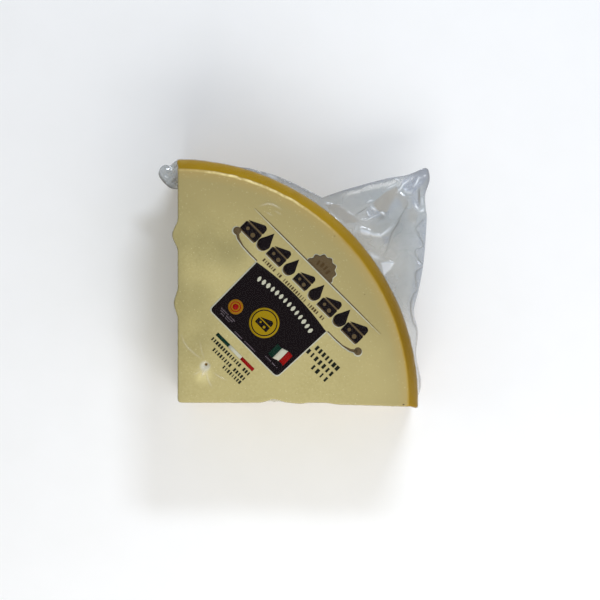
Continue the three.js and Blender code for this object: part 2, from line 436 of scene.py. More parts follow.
def rim_ridge(places):
    """The ragged burr that skimming left where the face meets the rind, from 0 to 1, which also sets where
    the cheese is painted a pale highlight.
    """
    x, y, z = places.T
    heading = np.degrees(np.arctan2(y, x))
    run = smoothstep(heading, BURR_TURNS[0], 65) * (1 - 0.7 * smoothstep(heading, 79, 86))
    run = run * (z > SLAB_HEIGHT / 2)
    flat = raised(places[:, :2], 0)
    ragged = np.clip(0.75 + 0.5 * rumple(flat, 9) + 0.6 * rumple(flat, 2.5), 0.2, 1)
    return ragged * run * bell(np.hypot(x, y) - FACE_RIM - 0.3 - 0.4 * rumple(flat, 7), 1.5)


def keep_shares(piece, **shares):
    """Stores numbers from 0 to 1 for each vertex, for the piece's material to read.

    Where the piece is two like layers, the numbers of one serve both."""
    for name, values in shares.items():
        layer = piece.data.attributes.new(name, "FLOAT", "POINT")
        layers = len(piece.data.vertices) // len(values)
        layer.data.foreach_set("value", np.tile(np.clip(values, 0, 1), layers))


CHEESE_SPACING = 1.6
rim_turns = np.radians(np.linspace(*BURR_TURNS, 40))
rim_line = FACE_RIM * np.column_stack((np.cos(rim_turns), np.sin(rim_turns)))
hole_line = np.array(((-0.1, 0), (0.1, 0))) + (DIMPLE["x"], DIMPLE["y"])


def cheese_lift(points):
    """The face's rise and dips with the small hole in the dimple."""
    centre = np.hypot(points[:, 0] - DIMPLE["x"], points[:, 1] - DIMPLE["y"])
    edge = DIMPLE["hole_radius"]
    hole = (DIMPLE["hole_depth"] - DIMPLE["depth"]) * (1 - smoothstep(centre, edge - 0.3, edge + 0.3))
    return face_lift(points) - hole


# The paste is aged cow's milk curd: matt, straw-coloured and grainy, greyer towards the rind. The rind is
# the same curd dried hard and rubbed with oil, so it is golden brown and tighter. The colour follows the
# distance from the wheel's axis and from its lower face, and so also shows as a band on both cuts.
paste, tree = new_material("aged_curd_paste_and_oiled_rind")
where = add(tree, "ShaderNodeTexCoord").outputs["Object"]
centred = add(tree, "ShaderNodeMapping", {"Vector": where, "Location": -AXIS}).outputs[0]
level = add(tree, "ShaderNodeVectorMath", {0: centred, 1: (1, 1, 0)}, operation="MULTIPLY").outputs[0]
radius = add(tree, "ShaderNodeVectorMath", {0: level}, operation="LENGTH").outputs["Value"]
height = add(tree, "ShaderNodeSeparateXYZ", {0: centred}).outputs[2]
hole_at = Vector((DIMPLE["x"], DIMPLE["y"], 0)) * MM
whey_at = hole_at - Vector((0.9, 1.6, 0)) * MM
from_hole, from_whey = (
    add(tree, "ShaderNodeVectorMath", {0: level, 1: at}, operation="DISTANCE").outputs["Value"]
    for at in (hole_at, whey_at)
)
wander, clouds, grains, streaks, grit = (
    add(tree, "ShaderNodeTexNoise", {
        "Vector": centred, "Scale": 1 / (size * MM), "Detail": detail,
    }).outputs["Fac"]
    for size, detail in ((9, 3), (42, 3), (1.7, 2), (14, 5), (1.1, 3))
)
curds = add(tree, "ShaderNodeTexVoronoi", {"Vector": centred, "Scale": 1 / (4.5 * MM)}).outputs["Distance"]
sole = add(tree, "ShaderNodeMath", {
    0: (UNDER_RIND + 191.5) * MM, 1: height,
}, operation="SUBTRACT").outputs[0]
sideways, downwards = (
    add(tree, "ShaderNodeMath", {0: wander, 1: 1.2 * MM, 2: depth}, operation="MULTIPLY_ADD").outputs[0]
    for depth in (radius, sole)
)
skin_depth = add(tree, "ShaderNodeMath", {0: sideways, 1: downwards}, operation="MAXIMUM").outputs[0]
share = {}
for name, value, start, end, most, way in (
    ("cloudy", clouds, 0.35, 0.65, 1, "LINEAR"),
    ("grainy", grains, 0.3, 0.7, 1, "LINEAR"),
    ("sawn", height, 98 * MM, 94 * MM, 0.3, "LINEAR"),
    ("dry", radius, 120 * MM, 185 * MM, 1, "SMOOTHSTEP"),
    ("crust", skin_depth, 182 * MM, 191 * MM, 1, "LINEAR"),
    ("rind", skin_depth, 189.9 * MM, 192.5 * MM, 1, "LINEAR"),
    ("whey", from_whey, 5.6 * MM, 2.2 * MM, 0.75, "SMOOTHSTEP"),
    # Painted shade: inside the small hole the paste is painted darker brown.
    ("hole", from_hole, 1.5 * MM, 0.8 * MM, 1, "LINEAR"),
):
    share[name] = add(tree, "ShaderNodeMapRange", {
        "Value": value, "From Min": start, "From Max": end, "To Max": most,
    }, interpolation_type=way).outputs[0]
for name in ("damp", "pale", "tanned", "burr"):
    share[name] = add(tree, "ShaderNodeAttribute", attribute_name=name).outputs["Fac"]
share["broken"] = add(tree, "ShaderNodeMath", {0: share["sawn"], 1: curds}, operation="MULTIPLY").outputs[0]
oiled = add(tree, "ShaderNodeMix", {
    "Factor": streaks, 6: linear("#a37e16"), 7: linear("#b38f1c"),
}, data_type="RGBA").outputs[2]
colour = linear("#b2a571")
for name, over in (
    ("cloudy", linear("#b9ac78")), ("grainy", linear("#bdb17e")), ("broken", linear("#8a7c4a")),
    ("dry", linear("#a69868")), ("crust", linear("#ae9861")), ("rind", oiled), ("damp", linear("#8b8258")),
    ("pale", linear("#e0d39a")), ("tanned", linear("#7b5d14")), ("burr", linear("#fff0b4")),
    ("whey", linear("#d3d1c6")), ("hole", linear("#8a6a35")),
):
    colour = add(tree, "ShaderNodeMix", {
        "Factor": share[name], 6: colour, 7: over,
    }, data_type="RGBA").outputs[2]
shine = add(tree, "ShaderNodeMath", {
    0: share["rind"], 1: -0.08, 2: 0.12,
}, operation="MULTIPLY_ADD").outputs[0]
rough = add(tree, "ShaderNodeBump", {"Height": grit, "Strength": 0.5, "Distance": 0.15 * MM}).outputs[0]
body = add(tree, "ShaderNodeBsdfPrincipled", {
    "Base Color": colour, "Roughness": 0.6, "Normal": rough, "Specular IOR Level": shine,
})
add(tree, "ShaderNodeOutputMaterial", {"Surface": body.outputs[0]})

places, faces = slab(FILM_GAP, CHEESE_SPACING, [(hole_line, 5, 0.4), (rim_line, 2, 0.6)], cheese_lift)
cheese = make_piece("cheese", places, faces, paste)
on_cut = smoothstep(SLAB_HEIGHT - places[:, 2], 0.6, 4) * smoothstep(places[:, 2], 0.6, 4)
# Painted shade: the rind is painted darker where its shoulder faces to the right, away from the lamps.
heading = np.degrees(np.arctan2(places[:, 1], places[:, 0]))
rind_part = smoothstep(np.hypot(places[:, 0], places[:, 1]), 190.5, 192.5)


def patchy(places, patches):
    """Soft, uneven patches over the face, each with its middle, reach and share."""
    return sum(
        share * bell(np.hypot(places[:, 0] - x, places[:, 1] - y) + 3 * rumple(places, 12), reach)
        for x, y, reach, share in patches
    )


# Painted shade along the left cut's edge, where the film turns down.
edge_painted_shade = 0.46 * (1 - smoothstep(places[:, 0], -2, 13)) * bell(places[:, 1] - 92, 130)
# Painted highlight: a pale glint with rays below the dimple, where the film's tent catches the light.
from_dimple = places[:, :2] - (DIMPLE["x"], DIMPLE["y"])
turn = np.arctan2(*from_dimple.T)
rays = np.column_stack((3.2 * turn, 0 * turn, 0 * turn))
dimple_glint = bell(np.hypot(*(from_dimple + (2, 9)).T), 11) * (0.7 + 0.7 * rumple(rays, 1))
# Painted highlight: along the burr the paste is painted pale, as well as lifted.
burr = rim_ridge(places)
keep_shares(
    cheese, burr=burr, tanned=0.82 * bell(heading - 16, 40) * rind_part,
    damp=patchy(places, PAINTED_SHADE_PATCHES) + edge_painted_shade, pale=patchy(places, PAINTED_LIGHT_PATCHES) + dimple_glint,
)
swell(cheese, side_relief(places) + 0.12 * rumple(places, 3.5) * on_cut + burr)
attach(cheese, "root")
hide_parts("vacuum_pack")

# Film skin: the clear barrier film that the vacuum draws onto the slab, with the cheese pressed against
# it. It lies flat on the skimmed face but for a few creases, is pulled over the edges, and keeps fine
# wrinkles that hang down the sides.
FACE_CREASES = (  # points seen from above, half width, height
    (((68, 160.5), (75, 162.3), (79.7, 161.2), (86.2, 157.6)), 0.8, 0.62),
    (((73.3, 155.3), (78.5, 152.4)), 0.7, 0.35),
    (((80.3, 156.6), (86, 153.2)), 0.7, 0.3),
    (((3.4, 54), (5.5, 47.9), (9, 43), (13.8, 38.7), (20.6, 33.6)), 0.7, 0.5),
    (((24.3, 24.2), (25.2, 17.4), (28.6, 10.5)), 0.8, 0.6),
    (((22.8, 25.4), (21.4, 20.4)), 2.2, 0.7),
    (((21.8, 23.6), (20.2, 19.4)), 0.8, 0.5),
    (((30, 22.6), (36, 18.6), (40.6, 16.4)), 0.6, 0.6),
    (((19.6, 24.2), (13.2, 20.6)), 0.8, 0.4),
    (((19.8, 25.6), (14.4, 24.8)), 0.6, 0.25),
    (((22.6, 33.9), (20.3, 40), (18.7, 48.5)), 0.6, 0.3),
)


def creased(points, creases):
    """Heights of soft ridges along broken lines, each of which runs out at both ends."""
    heights = 0
    for line, width, height in creases:
        distance, place = along_line(points, np.array(line, float))
        ends = np.sin(np.pi * np.clip(place, 0.04, 0.96)) ** 0.7
        heights = heights + height * np.exp(-(distance / width) ** 2) * ends
    return heights


def film_lift(points):
    """The cheese's rise and dips with the film's creases on them."""
    return face_lift(points) + creased(points, FACE_CREASES)

def hanging_folds(places):
    """Heights of the thin folds that hang down the sides."""
    bend = rumple(places, np.array((13, 13, 60)))
    strength = np.clip(rumple(places + 300, 38) + 0.3, 0, 1)
    ends = smoothstep(SLAB_HEIGHT - places[:, 2], 3, 14) * smoothstep(places[:, 2], 1, 10)
    return 0.9 * np.exp(-(bend / 0.06) ** 2) * strength * ends


def edge_pull(places):
    """The uneven pull of the film over the face's edges."""
    return 0.16 * rumple(places, np.array((5, 5, 9))) * bell(SLAB_HEIGHT - places[:, 2] - 2, 6)


def rippled_film(tree, size, strength, height):
    """The film's small ripples as a bump, and how far it slants from the eye, to the fifth power."""
    where = add(tree, "ShaderNodeTexCoord").outputs["Object"]
    ripples = add(tree, "ShaderNodeTexNoise", {"Vector": where, "Scale": 1 / (size * MM), "Detail": 2})
    rippled = add(tree, "ShaderNodeBump", {
        "Height": ripples.outputs["Fac"], "Strength": strength, "Distance": height * MM,
    }).outputs[0]
    slant = add(tree, "ShaderNodeLayerWeight", {"Blend": 0.5, "Normal": rippled}).outputs["Facing"]
    return rippled, add(tree, "ShaderNodeMath", {0: slant, 1: 5.0}, operation="POWER").outputs[0]


def film_shader(tree, tint, haze, haze_share, gloss_share, roughness, rippled):
    """Clear film: lets light through in its tint, but for the shares that it scatters and mirrors."""
    through = add(tree, "ShaderNodeBsdfTransparent", {"Color": linear(tint)}).outputs[0]
    hazy = add(tree, "ShaderNodeMixShader", {"Fac": haze_share, 1: through, 2: haze}).outputs[0]
    mirror = add(tree, "ShaderNodeBsdfGlossy", {"Roughness": roughness, "Normal": rippled}).outputs[0]
    film = add(tree, "ShaderNodeMixShader", {"Fac": gloss_share, 1: hazy, 2: mirror}).outputs[0]
    add(tree, "ShaderNodeOutputMaterial", {"Surface": film})


# Polyamide and polyethylene laminate, blown thin and clear: almost invisible, with the sharp small
# reflections of a smooth plastic and a trace of haze. Along its creases and hanging folds a stronger pale
# cream haze stands partly for the doubled film and partly for a painted highlight.
HEAD_ON = 0.006  # share that smooth plastic mirrors straight on; it rises to all at a grazing angle
clear_film, tree = new_material("clear_barrier_film_drawn_tight")
rippled, grazing = rippled_film(tree, 7, 0.35, 0.25)
rubbed_dull = add(tree, "ShaderNodeAttribute", attribute_name="rubbed_dull").outputs["Fac"]
doubled = add(tree, "ShaderNodeAttribute", attribute_name="doubled").outputs["Fac"]
bare_share, gloss_left, haze_share = (
    add(tree, "ShaderNodeMath", {0: value, 1: factor, 2: least}, operation="MULTIPLY_ADD").outputs[0]
    for value, factor, least in (
        (grazing, 1 - HEAD_ON, HEAD_ON), (rubbed_dull, -0.7, 1.0), (doubled, 0.5, 0.002),
    )
)
gloss_share = add(tree, "ShaderNodeMath", {0: bare_share, 1: gloss_left}, operation="MULTIPLY").outputs[0]
haze = add(tree, "ShaderNodeBsdfDiffuse", {"Color": linear("#ece5cf")}).outputs[0]
film_shader(tree, "#fdfdfb", haze, haze_share, gloss_share, 0.09, rippled)

near_creases = [(np.array(line, float), 3 * width, 0.5) for line, width, _ in FACE_CREASES]
places, faces = slab(0, 1.4, [(rim_line, 2, 0.6), (hole_line, 7, 0.5), *near_creases], film_lift)
film_skin = make_piece("film_skin", places, faces, clear_film)
on_face = places[:, 2] > SLAB_HEIGHT - 3
reach = np.hypot(places[:, 0], places[:, 1])
hanging = hanging_folds(places)
keep_shares(
    film_skin, rubbed_dull=smoothstep(reach, 190, 192.5) * smoothstep(places[:, 2], 55, 92),
    doubled=creased(places[:, :2], FACE_CREASES) * on_face + 0.35 * hanging,
)
swell(film_skin, side_relief(places) + hanging + edge_pull(places) + rim_ridge(places))
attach(film_skin, "root")
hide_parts("vacuum_pack")

# Print: inks laid on the inside of the film's face before the bag was made, so they lie between film and
# cheese and follow its face. The label stands across the slab: s runs down to the right and t up to the
# right, in millimetres from the dark panel's middle.
LABEL_MIDDLE = np.array((74.99, 66.15))
INK = 0.03
PANEL_HALF = 40


def on_label(points):
    """Wheel coordinates of points given on the label."""
    s, t = np.asarray(points, float).T
    return LABEL_MIDDLE + math.sqrt(0.5) * np.column_stack((s + t, t - s))


LEVELS = {"under": 0.06, "shade": 0.12, "field": 0.18, "motif": 0.24, "detail": 0.30}

# Solvent inks printed by engraved roller: flat and even, with the faint mottle that the cells leave.
INKS = {
    word: mottled("gravure_ink_" + word, 1.4, colours, 0.5, 0.08, 3) for word, *colours in (
        ("white", "#bbb9a6", "#c4c3b1"), ("taupe", "#584932", "#615139"), ("brown", "#46351d", "#523f24"),
        ("plum", "#0b0307", "#0d0409"), ("amber", "#8c5e00", "#946503"), ("scarlet", "#870400", "#8f0803"),
        ("yellow", "#937800", "#9b8003"), ("green", "#00261b", "#022b1f"), ("black", "#12160f", "#1a1f16"),
        ("grey", "#6b6068", "#756a72"),
    )
}


def ride_as_print(piece, level):
    """Lifts a flat piece of print onto the face, at the level of its pass through the press."""
    mesh = piece.data
    places = vectors(mesh.vertices, "co")
    flat = (places[:, :2] - AXIS[:2]) / MM
    places[:, 2] += (SLAB_HEIGHT - FILM_GAP + LEVELS[level] + face_lift(flat)) * MM
    mesh.vertices.foreach_set("co", places.ravel())
    mesh.update()
    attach(piece, "root")


def lay(name, level, colour, *shapes):
    """Prints outlines on the label as thin closed solids, each a list of loops with any holes clockwise."""
    places = []
    faces = []
    for loops in shapes:
        points, triangles = fill([on_label(loop) for loop in loops], 3)
        first = sum(len(part) for part in places)
        shift = first + len(points)
        places += [raised(points, 0), raised(points, -INK)]
        for a, b, c in triangles.tolist():
            faces += [(a + first, b + first, c + first), (c + shift, b + shift, a + shift)]
        start = 0
        for loop in loops:
            for i in range(len(loop)):
                a = start + i
                b = start + (i + 1) % len(loop)
                faces.append((b + first, a + first, a + shift, b + shift))
            start += len(loop)
    ride_as_print(make_piece("print_" + name, np.vstack(places), faces, INKS[colour]), level)


def disc(centre, radius, count=36, scallops=0, wave=0.0):
    """A round outline, with a wavy edge if it has scallops."""
    angles = np.linspace(0, 2 * np.pi, count, endpoint=False)
    reach = radius * (1 + wave * np.cos(scallops * angles))
    return np.array(centre) + np.column_stack((reach * np.cos(angles), reach * np.sin(angles)))


def rounded(corners, radii, steps=6):
    """A straight-sided outline whose corners are rounded by the given radii."""
    corners = np.array(corners, float)
    outline = []
    neighbours = zip(np.roll(corners, 1, 0), np.roll(corners, -1, 0))
    for corner, radius, (before, after) in zip(corners, radii, neighbours):
        start, end = (corner + (to - corner) * radius / np.linalg.norm(to - corner) for to in (before, after))
        for t in np.linspace(0, 1, steps + 1 if radius else 1):
            outline.append(start * (1 - t) ** 2 + 2 * corner * t * (1 - t) + end * t ** 2)
    return np.array(outline)


def spline(points, spacing):
    """A smooth curve through points, in steps of about the spacing, without its last point."""
    points = np.array(points, float)
    padded = np.vstack((points[:1], points, points[-1:]))
    pieces = []
    for before, start, end, after in zip(padded, padded[1:], padded[2:], padded[3:]):
        count = max(2, math.ceil(np.linalg.norm(end - start) / spacing))
        t = (np.arange(count) / count)[:, None]
        leave = (end - before) / 2
        arrive = (after - start) / 2
        cubic = 2 * start - 2 * end + leave + arrive
        square = -3 * start + 3 * end - 2 * leave - arrive
        pieces.append(cubic * t ** 3 + square * t ** 2 + leave * t + start)
    return np.vstack(pieces)


def stroke(line, widths):
    """The outline of a line drawn with a width that changes evenly along it."""
    line = np.array(line, float)
    along = np.gradient(line, axis=0)
    across = np.column_stack((-along[:, 1], along[:, 0])) / np.linalg.norm(along, axis=1)[:, None]
    half = np.interp(np.linspace(0, 1, len(line)), np.linspace(0, 1, len(widths)), widths)[:, None] / 2
    return np.vstack((line - across * half, (line + across * half)[::-1]))


# Rules and rosette: two thin rules with a white edge frame the row of motifs, the lower one with ball
# ends, and a small half rosette stands on the upper one.
RULE_TOP = 57.6


def half_rosette(rise, radius, cut):
    """A scalloped disc on the upper rule, cut off level where it meets it."""
    outline = disc((1.5, RULE_TOP + rise), radius, 132, 12, 0.06)
    return [np.column_stack((outline[:, 0], np.maximum(outline[:, 1], RULE_TOP + cut)))]


def rules(fall, side, upper, lower, ball, ball_at):
    """Both rules: how far off their lines, their widths, and the size and places of the balls."""
    upper_rule = np.column_stack((np.linspace(-73, 74, 60), np.full(60, RULE_TOP + fall[0])))
    left = np.array([(-41, 28.2), (-50, 28.2), (-58, 28.6), (-65, 30.4), (-70, 33.8)])
    right = left * (-1, 1) + (0.6, 0)
    return (
        [stroke(upper_rule, upper)],
        [stroke(left + (-side, fall[1]), lower)],
        [stroke(right + (side, fall[1]), lower)[::-1]],
        *([disc((s, ball_at[2]), ball)] for s in ball_at[:2]),
    )


lay("rule_edges", "under", "white",
    *rules((-0.7, -0.9), 0.3, (0.2, 1.0, 1.1, 1.1, 1.0, 0.2), (1.0, 1.2, 2.4), 3.9, (-70.6, 71.2, 33.6)),
    half_rosette(1.6, 13.6, -0.3))
lay("rules", "shade", "taupe",
    *rules((0.3, 0), 0, (0.1, 0.8, 0.9, 0.9, 0.8, 0.1), (0.9, 1.0, 3.0), 3.3, (-70.2, 70.8, 34.2)),
    half_rosette(1.8, 12.9, 0.4))

# Panel: a dark square with its upper edge slightly arched and its two lower corners rounded, edged white.
# It carries a yellow disc with a wedge, an amber roundel and a small waving tricolour.
arch = [(s, 27.2 + 3.6 * (1 - (s / PANEL_HALF) ** 2)) for s in np.linspace(38, -38, 25)]
border = rounded(((-41.3, 27.2), (-40.9, -29.1), (39.2, -29.1), (41.6, 27.4)), (0, 4.2, 4.6, 0))
panel = rounded(((-40.2, 27.2), (-39.8, -28), (38.3, -28), (40.6, 27.4)), (0, 3.6, 4, 0))
lay("panel_edge", "under", "white", [np.vstack((border, arch))])
lay("panel", "field", "plum", [np.vstack((panel, arch))])

EMBLEM = np.array((-0.5, -3.9))
wedge_body = rounded(((-6.4, -4.6), (6.4, -4.6), (6.4, 0.2), (-6.4, 0.2)), (0.7, 0.7, 0.3, 0.3))
wedge_top = rounded(((-6.1, 1.2), (6.4, 1.2), (6.0, 4.6), (4.0, 5.8)), (0.3, 0.3, 0.8, 0.8))
small_holes = [disc((-2.6, -1.6), 0.9, 14)[::-1], disc((2.4, -2.6), 1.2, 14)[::-1]]
lay("emblem", "motif", "yellow", [disc(EMBLEM, 12.6, 72)])
lay("emblem_lines", "detail", "plum",
    [disc(EMBLEM, 11.0, 72), disc(EMBLEM, 10.1, 72)[::-1]],
    [wedge_body + EMBLEM, *(hole + EMBLEM for hole in small_holes)],
    [wedge_top + EMBLEM])

ROUNDEL = (-26.6, -11.2)
lay("roundel", "motif", "amber", [disc(ROUNDEL, 6.3, 48)])
lay("roundel_middle", "detail", "scarlet",
    [disc(ROUNDEL, 4.4, 48), disc(ROUNDEL, 3.7, 48)[::-1]], [disc(ROUNDEL, 2.5, 32)])

FLAG = np.array((27.4, -13.0))
FLAG_WIDTH = 16
BAR = np.array((-0.55, -37.9))
BAR_WIDTH = 42.5


def stripe(k, width, half, wave=0.0, count=2):
    """The k-th of three upright stripes of a flag or bar, in the wind if it has a wave."""
    s = np.linspace((k / 3 - 0.5) * width, ((k + 1) / 3 - 0.5) * width, count)
    sway = wave * np.sin(5.2 * s / width)
    return np.vstack((np.column_stack((s, sway - half)), np.column_stack((s, sway + half))[::-1]))


for k, (word, colour) in enumerate((("green", "green"), ("white", "white"), ("red", "scarlet"))):
    lay("flag_" + word, "motif", colour, [FLAG + stripe(k, FLAG_WIDTH, 5.6, 1.1, 9)])
    lay("bar_" + word, "motif", colour, [BAR + stripe(k, BAR_WIDTH, 1.45)])

# Motifs and small lines: a row of cheese wedges and milk drops stands where a pack has its title, each
# with a taupe shade and a pale edge, and rows of plain marks stand where it has small print.
def new_group(name, **sockets):
    """A geometry node group with one geometry output and the named inputs, which it also gives."""
    group = bpy.data.node_groups.new(name, "GeometryNodeTree")
    group.interface.new_socket("Geometry", in_out="OUTPUT", socket_type="NodeSocketGeometry")
    for label, kind in sockets.items():
        group.interface.new_socket(label, in_out="INPUT", socket_type="NodeSocket" + kind)
    return group, add(group, "NodeGroupInput").outputs


def end_group(tree, copies, material):
    """Ends a group: puts a copy on each point, as real mesh in one material."""
    placed = add(tree, "GeometryNodeInstanceOnPoints", copies).outputs[0]
    real = add(tree, "GeometryNodeRealizeInstances", {"Geometry": placed}).outputs[0]
    dressed = add(tree, "GeometryNodeSetMaterial", {"Geometry": real, "Material": material}).outputs[0]
    add(tree, "NodeGroupOutput", {"Geometry": dressed})


def grown(name, group, mesh, values):
    """Runs a node group on a mesh and leaves its result as a plain mesh object."""
    host = bpy.data.objects.new(name, mesh)
    bpy.context.collection.objects.link(host)
    modifier = host.modifiers.new(name, "NODES")
    modifier.node_group = group
    for item in group.interface.items_tree:
        if item.in_out == "INPUT" and item.name in values:
            modifier[item.identifier] = values[item.name]
    evaluated = host.evaluated_get(bpy.context.evaluated_depsgraph_get())
    result = bpy.data.meshes.new_from_object(evaluated)
    host.modifiers.clear()
    host.data = result
    return host


tree, given = new_group(
    "marks_on_lines", Lines="Geometry", Mark="Object", Spacing="Float", Gaps="Float", Seed="Int",
    Narrowest="Float", Ink="Material",
)
marks_on_lines = tree
curves = add(tree, "GeometryNodeMeshToCurve", {"Mesh": given["Lines"]}).outputs[0]
spots = add(tree, "GeometryNodeCurveToPoints", {
    "Curve": curves, "Length": given["Spacing"],
}, mode="LENGTH").outputs
missing = add(tree, "FunctionNodeRandomValue", {
    "Probability": given["Gaps"], "Seed": given["Seed"],
}, data_type="BOOLEAN").outputs[3]
kept = add(tree, "GeometryNodeDeleteGeometry", {
    "Geometry": spots["Points"], "Selection": missing,
}, domain="POINT").outputs[0]
turned = add(tree, "FunctionNodeAlignRotationToVector", {"Vector": spots["Tangent"]}, axis="X").outputs[0]
mark = add(tree, "GeometryNodeObjectInfo", {"Object": given["Mark"]}).outputs["Geometry"]
least = add(tree, "ShaderNodeCombineXYZ", {0: given["Narrowest"], 1: 1.0, 2: 1.0}).outputs[0]
width = add(tree, "FunctionNodeRandomValue", {
    0: least, 1: (1.1, 1.0, 1.0), "Seed": given["Seed"],
}, data_type="FLOAT_VECTOR").outputs[0]
end_group(tree, {"Points": kept, "Instance": mark, "Rotation": turned, "Scale": width}, given["Ink"])

DASH = ((-0.5, -0.5), (0.5, -0.5), (0.5, 0.5), (-0.5, 0.5))
BEAD = (
    (-0.5, 0), (-0.25, -0.4167), (0, -0.5), (0.25, -0.4167), (0.5, 0), (0.25, 0.4167), (0, 0.5),
    (-0.25, 0.4167),
)
MARK_ROWS = (  # piece, level, ink, mark and its size, spacing, share left out, narrowest, seed, lines
    ("rosette_row", "detail", "brown", DASH, (2.2, 4.2), 3.2, 0.0, 0.6, 5,
     [((-4, 62.8), (1.5, 64.4), (7, 62.8))]),
    ("panel_beads", "motif", "white", BEAD, (3.2, 4.9), 4.6, 0.0, 0.7, 0,
     [[(s, 18.3 + 3.2 * (1 - (s / 32) ** 2)) for s in np.linspace(-29, 31, 30)]]),
    ("brown_row", "field", "brown", DASH, (1.5, 2.9), 2.35, 0.12, 0.4, 4, [((-37.4, 32.8), (31.4, 32.8))]),
    ("dark_rows", "field", "black", DASH, (1.7, 3.0), 2.5, 0.1, 0.4, 7,
     [((-21.3, -43.2), (20, -42.9)), ((-14.2, -48.8), (20.2, -48.6)), ((-3.4, -53.4), (19.8, -52.9))]),
    ("dark_block", "field", "black", DASH, (2.6, 4.2), 3.9, 0.0, 0.4, 2,
     [((45.1, 12.2), (68.6, 12.2)), ((42.1, 5.4), (68.4, 5.4)), ((54.1, -1.2), (68.4, -1.0))]),
    ("small_rows", "motif", "grey", DASH, (0.8, 0.9), 1.25, 0.15, 0.5, 3,
     [((-34, -20.2), (-19, -20.2)), ((-33, -21.9), (-20, -21.9)), ((-31, -23.6), (-22, -23.6)),
      ((20, -22.6), (33, -22.6)), ((-12.3, -26.2), (10.6, -26.0))]),
)
for name, level, colour, shape, size, spacing, gaps, narrowest, seed, lines in MARK_ROWS:
    # One mark is a thin closed solid round the origin, and the lines that carry it are bare edges.
    outline = np.array(shape) * size * MM
    count = len(outline)
    corners = [(x, y, z) for z in (0, -INK * MM) for x, y in outline]
    walls = [((i + 1) % count, i, i + count, (i + 1) % count + count) for i in range(count)]
    mesh = bpy.data.meshes.new(name + "_mark")
    mesh.from_pydata(corners, [], [tuple(range(count)), tuple(range(2 * count - 1, count - 1, -1)), *walls])
    mark = bpy.data.objects.new(name + "_mark", mesh)
    places = []
    edges = []
    for line in lines:
        start = len(places)
        places += [(x * MM + AXIS[0], y * MM + AXIS[1], 0) for x, y in on_label(line)]
        edges += [(i, i + 1) for i in range(start, len(places) - 1)]
    mesh = bpy.data.meshes.new(name)
    mesh.from_pydata(places, edges, [])
    ride_as_print(grown("print_" + name, marks_on_lines, mesh, {
        "Mark": mark, "Spacing": spacing * MM, "Gaps": gaps, "Seed": seed, "Narrowest": narrowest,
        "Ink": INKS[colour],
    }), level)

DROP_HALF = ((2.6, 1.6), (4.4, -2.4), (3, -5.9))
drop = spline(
    ((0, 7), *DROP_HALF, (0, -7), *((-s, t) for s, t in reversed(DROP_HALF)), (0, 7)), 1,
)[::-1]
wedge_loops = [
    [rounded(((-7.4, -6.8), (7.4, -6.8), (7.4, 0), (-7.4, 0)), (1, 1, 0.4, 0.4)),
     disc((-3.2, -3.2), 1.3, 16)[::-1], disc((2.6, -4.2), 1.7, 16)[::-1]],
    [rounded(((-7.0, 1.3), (7.4, 1.3), (7.0, 5.6), (4.6, 7)), (0.3, 0.4, 1.2, 1.2))],
]
wedge_outline = rounded(
    ((-7.4, -6.8), (7.4, -6.8), (7.0, 5.6), (4.6, 7), (-7.4, 0.8)), (1, 1, 1.2, 1.2, 0.6),
)
motifs = []
outlines = []
for k in range(-4, 5):
    at = np.array((-2.3 + k * 14.8, 45.6))
    size = 0.98 + 0.05 * abs(k)
    if k % 2 == 0:
        motifs += [[loop * size + at for loop in loops] for loops in wedge_loops]
        outlines.append(wedge_outline * size + at)
    else:
        motifs.append([drop * (size + 0.1) + at])
        outlines.append(motifs[-1][0])
lay("motif_edges", "under", "white", *([outline + (-0.5, -1.9)] for outline in outlines))
lay("motif_shades", "shade", "taupe", *([outline + (-0.3, -1.1)] for outline in outlines))
lay("motifs", "field", "plum", *motifs)

# Crystals and specks: white grains of amino acid that ageing leaves all through the paste, and a few dark
# crumbs caught under the film.
crystal = mottled("ageing_crystals_in_curd", 0.5, ("#c9bf8e", "#ded6a9"), 0.4)
crumb = mottled("dried_crumbs_of_rind", 0.7, ("#4a3a20", "#6b5428"), 0.7)

tree, given = new_group(
    "grains_over_face", Face="Geometry", Density="Float", Size="Float", Seed="Int", Stuff="Material",
)
facing = add(tree, "ShaderNodeSeparateXYZ", {0: add(tree, "GeometryNodeInputNormal").outputs[0]}).outputs[2]
upward = add(tree, "FunctionNodeCompare", {0: facing, 1: 0.97}, operation="GREATER_THAN").outputs[0]
spots = add(tree, "GeometryNodeDistributePointsOnFaces", {
    "Mesh": given["Face"], "Selection": upward, "Density": given["Density"], "Seed": given["Seed"],
}).outputs["Points"]
lump = add(tree, "GeometryNodeMeshIcoSphere", {"Radius": given["Size"]}).outputs["Mesh"]
smallest = add(tree, "ShaderNodeCombineXYZ", {0: 0.35, 1: 0.35, 2: 0.2}).outputs[0]
sizes = add(tree, "FunctionNodeRandomValue", {
    0: smallest, 1: (1.0, 0.8, 0.3), "Seed": given["Seed"],
}, data_type="FLOAT_VECTOR").outputs[0]
end_group(tree, {"Points": spots, "Instance": lump, "Scale": sizes}, given["Stuff"])
grains = grown("ageing_crystals", tree, cheese.data.copy(), {
    "Density": 32000.0, "Size": 0.42 * MM, "Seed": 11, "Stuff": crystal,
})
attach(grains, "root")

SPECKS = (
    (44.7, 173.5, 0.45), (129.9, 135.5, 0.6), (154.7, 87.2, 0.55), (68.8, 179.5, 0.4), (56.3, 190.2, 0.5),
    (186.8, -3.6, 1.0),
)
places = []
faces = []
for x, y, size in SPECKS:
    top = SLAB_HEIGHT - 0.1 + float(face_lift(np.array(((x, y),)))[0])
    first = len(places)
    places.append((x, y, top))
    for k in range(6):
        turn = k * math.pi / 3 + x
        reach = size * (0.8 + 0.3 * math.sin(5 * k + y))
        places.append((x + reach * math.cos(turn), y + 0.7 * reach * math.sin(turn), top - 0.3))
    faces += [(first, first + 1 + k, first + 1 + (k + 1) % 6) for k in range(6)]
    faces.append(tuple(first + 6 - k for k in range(6)))
specks = make_piece("dark_specks", places, faces, crumb)
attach(specks, "root")

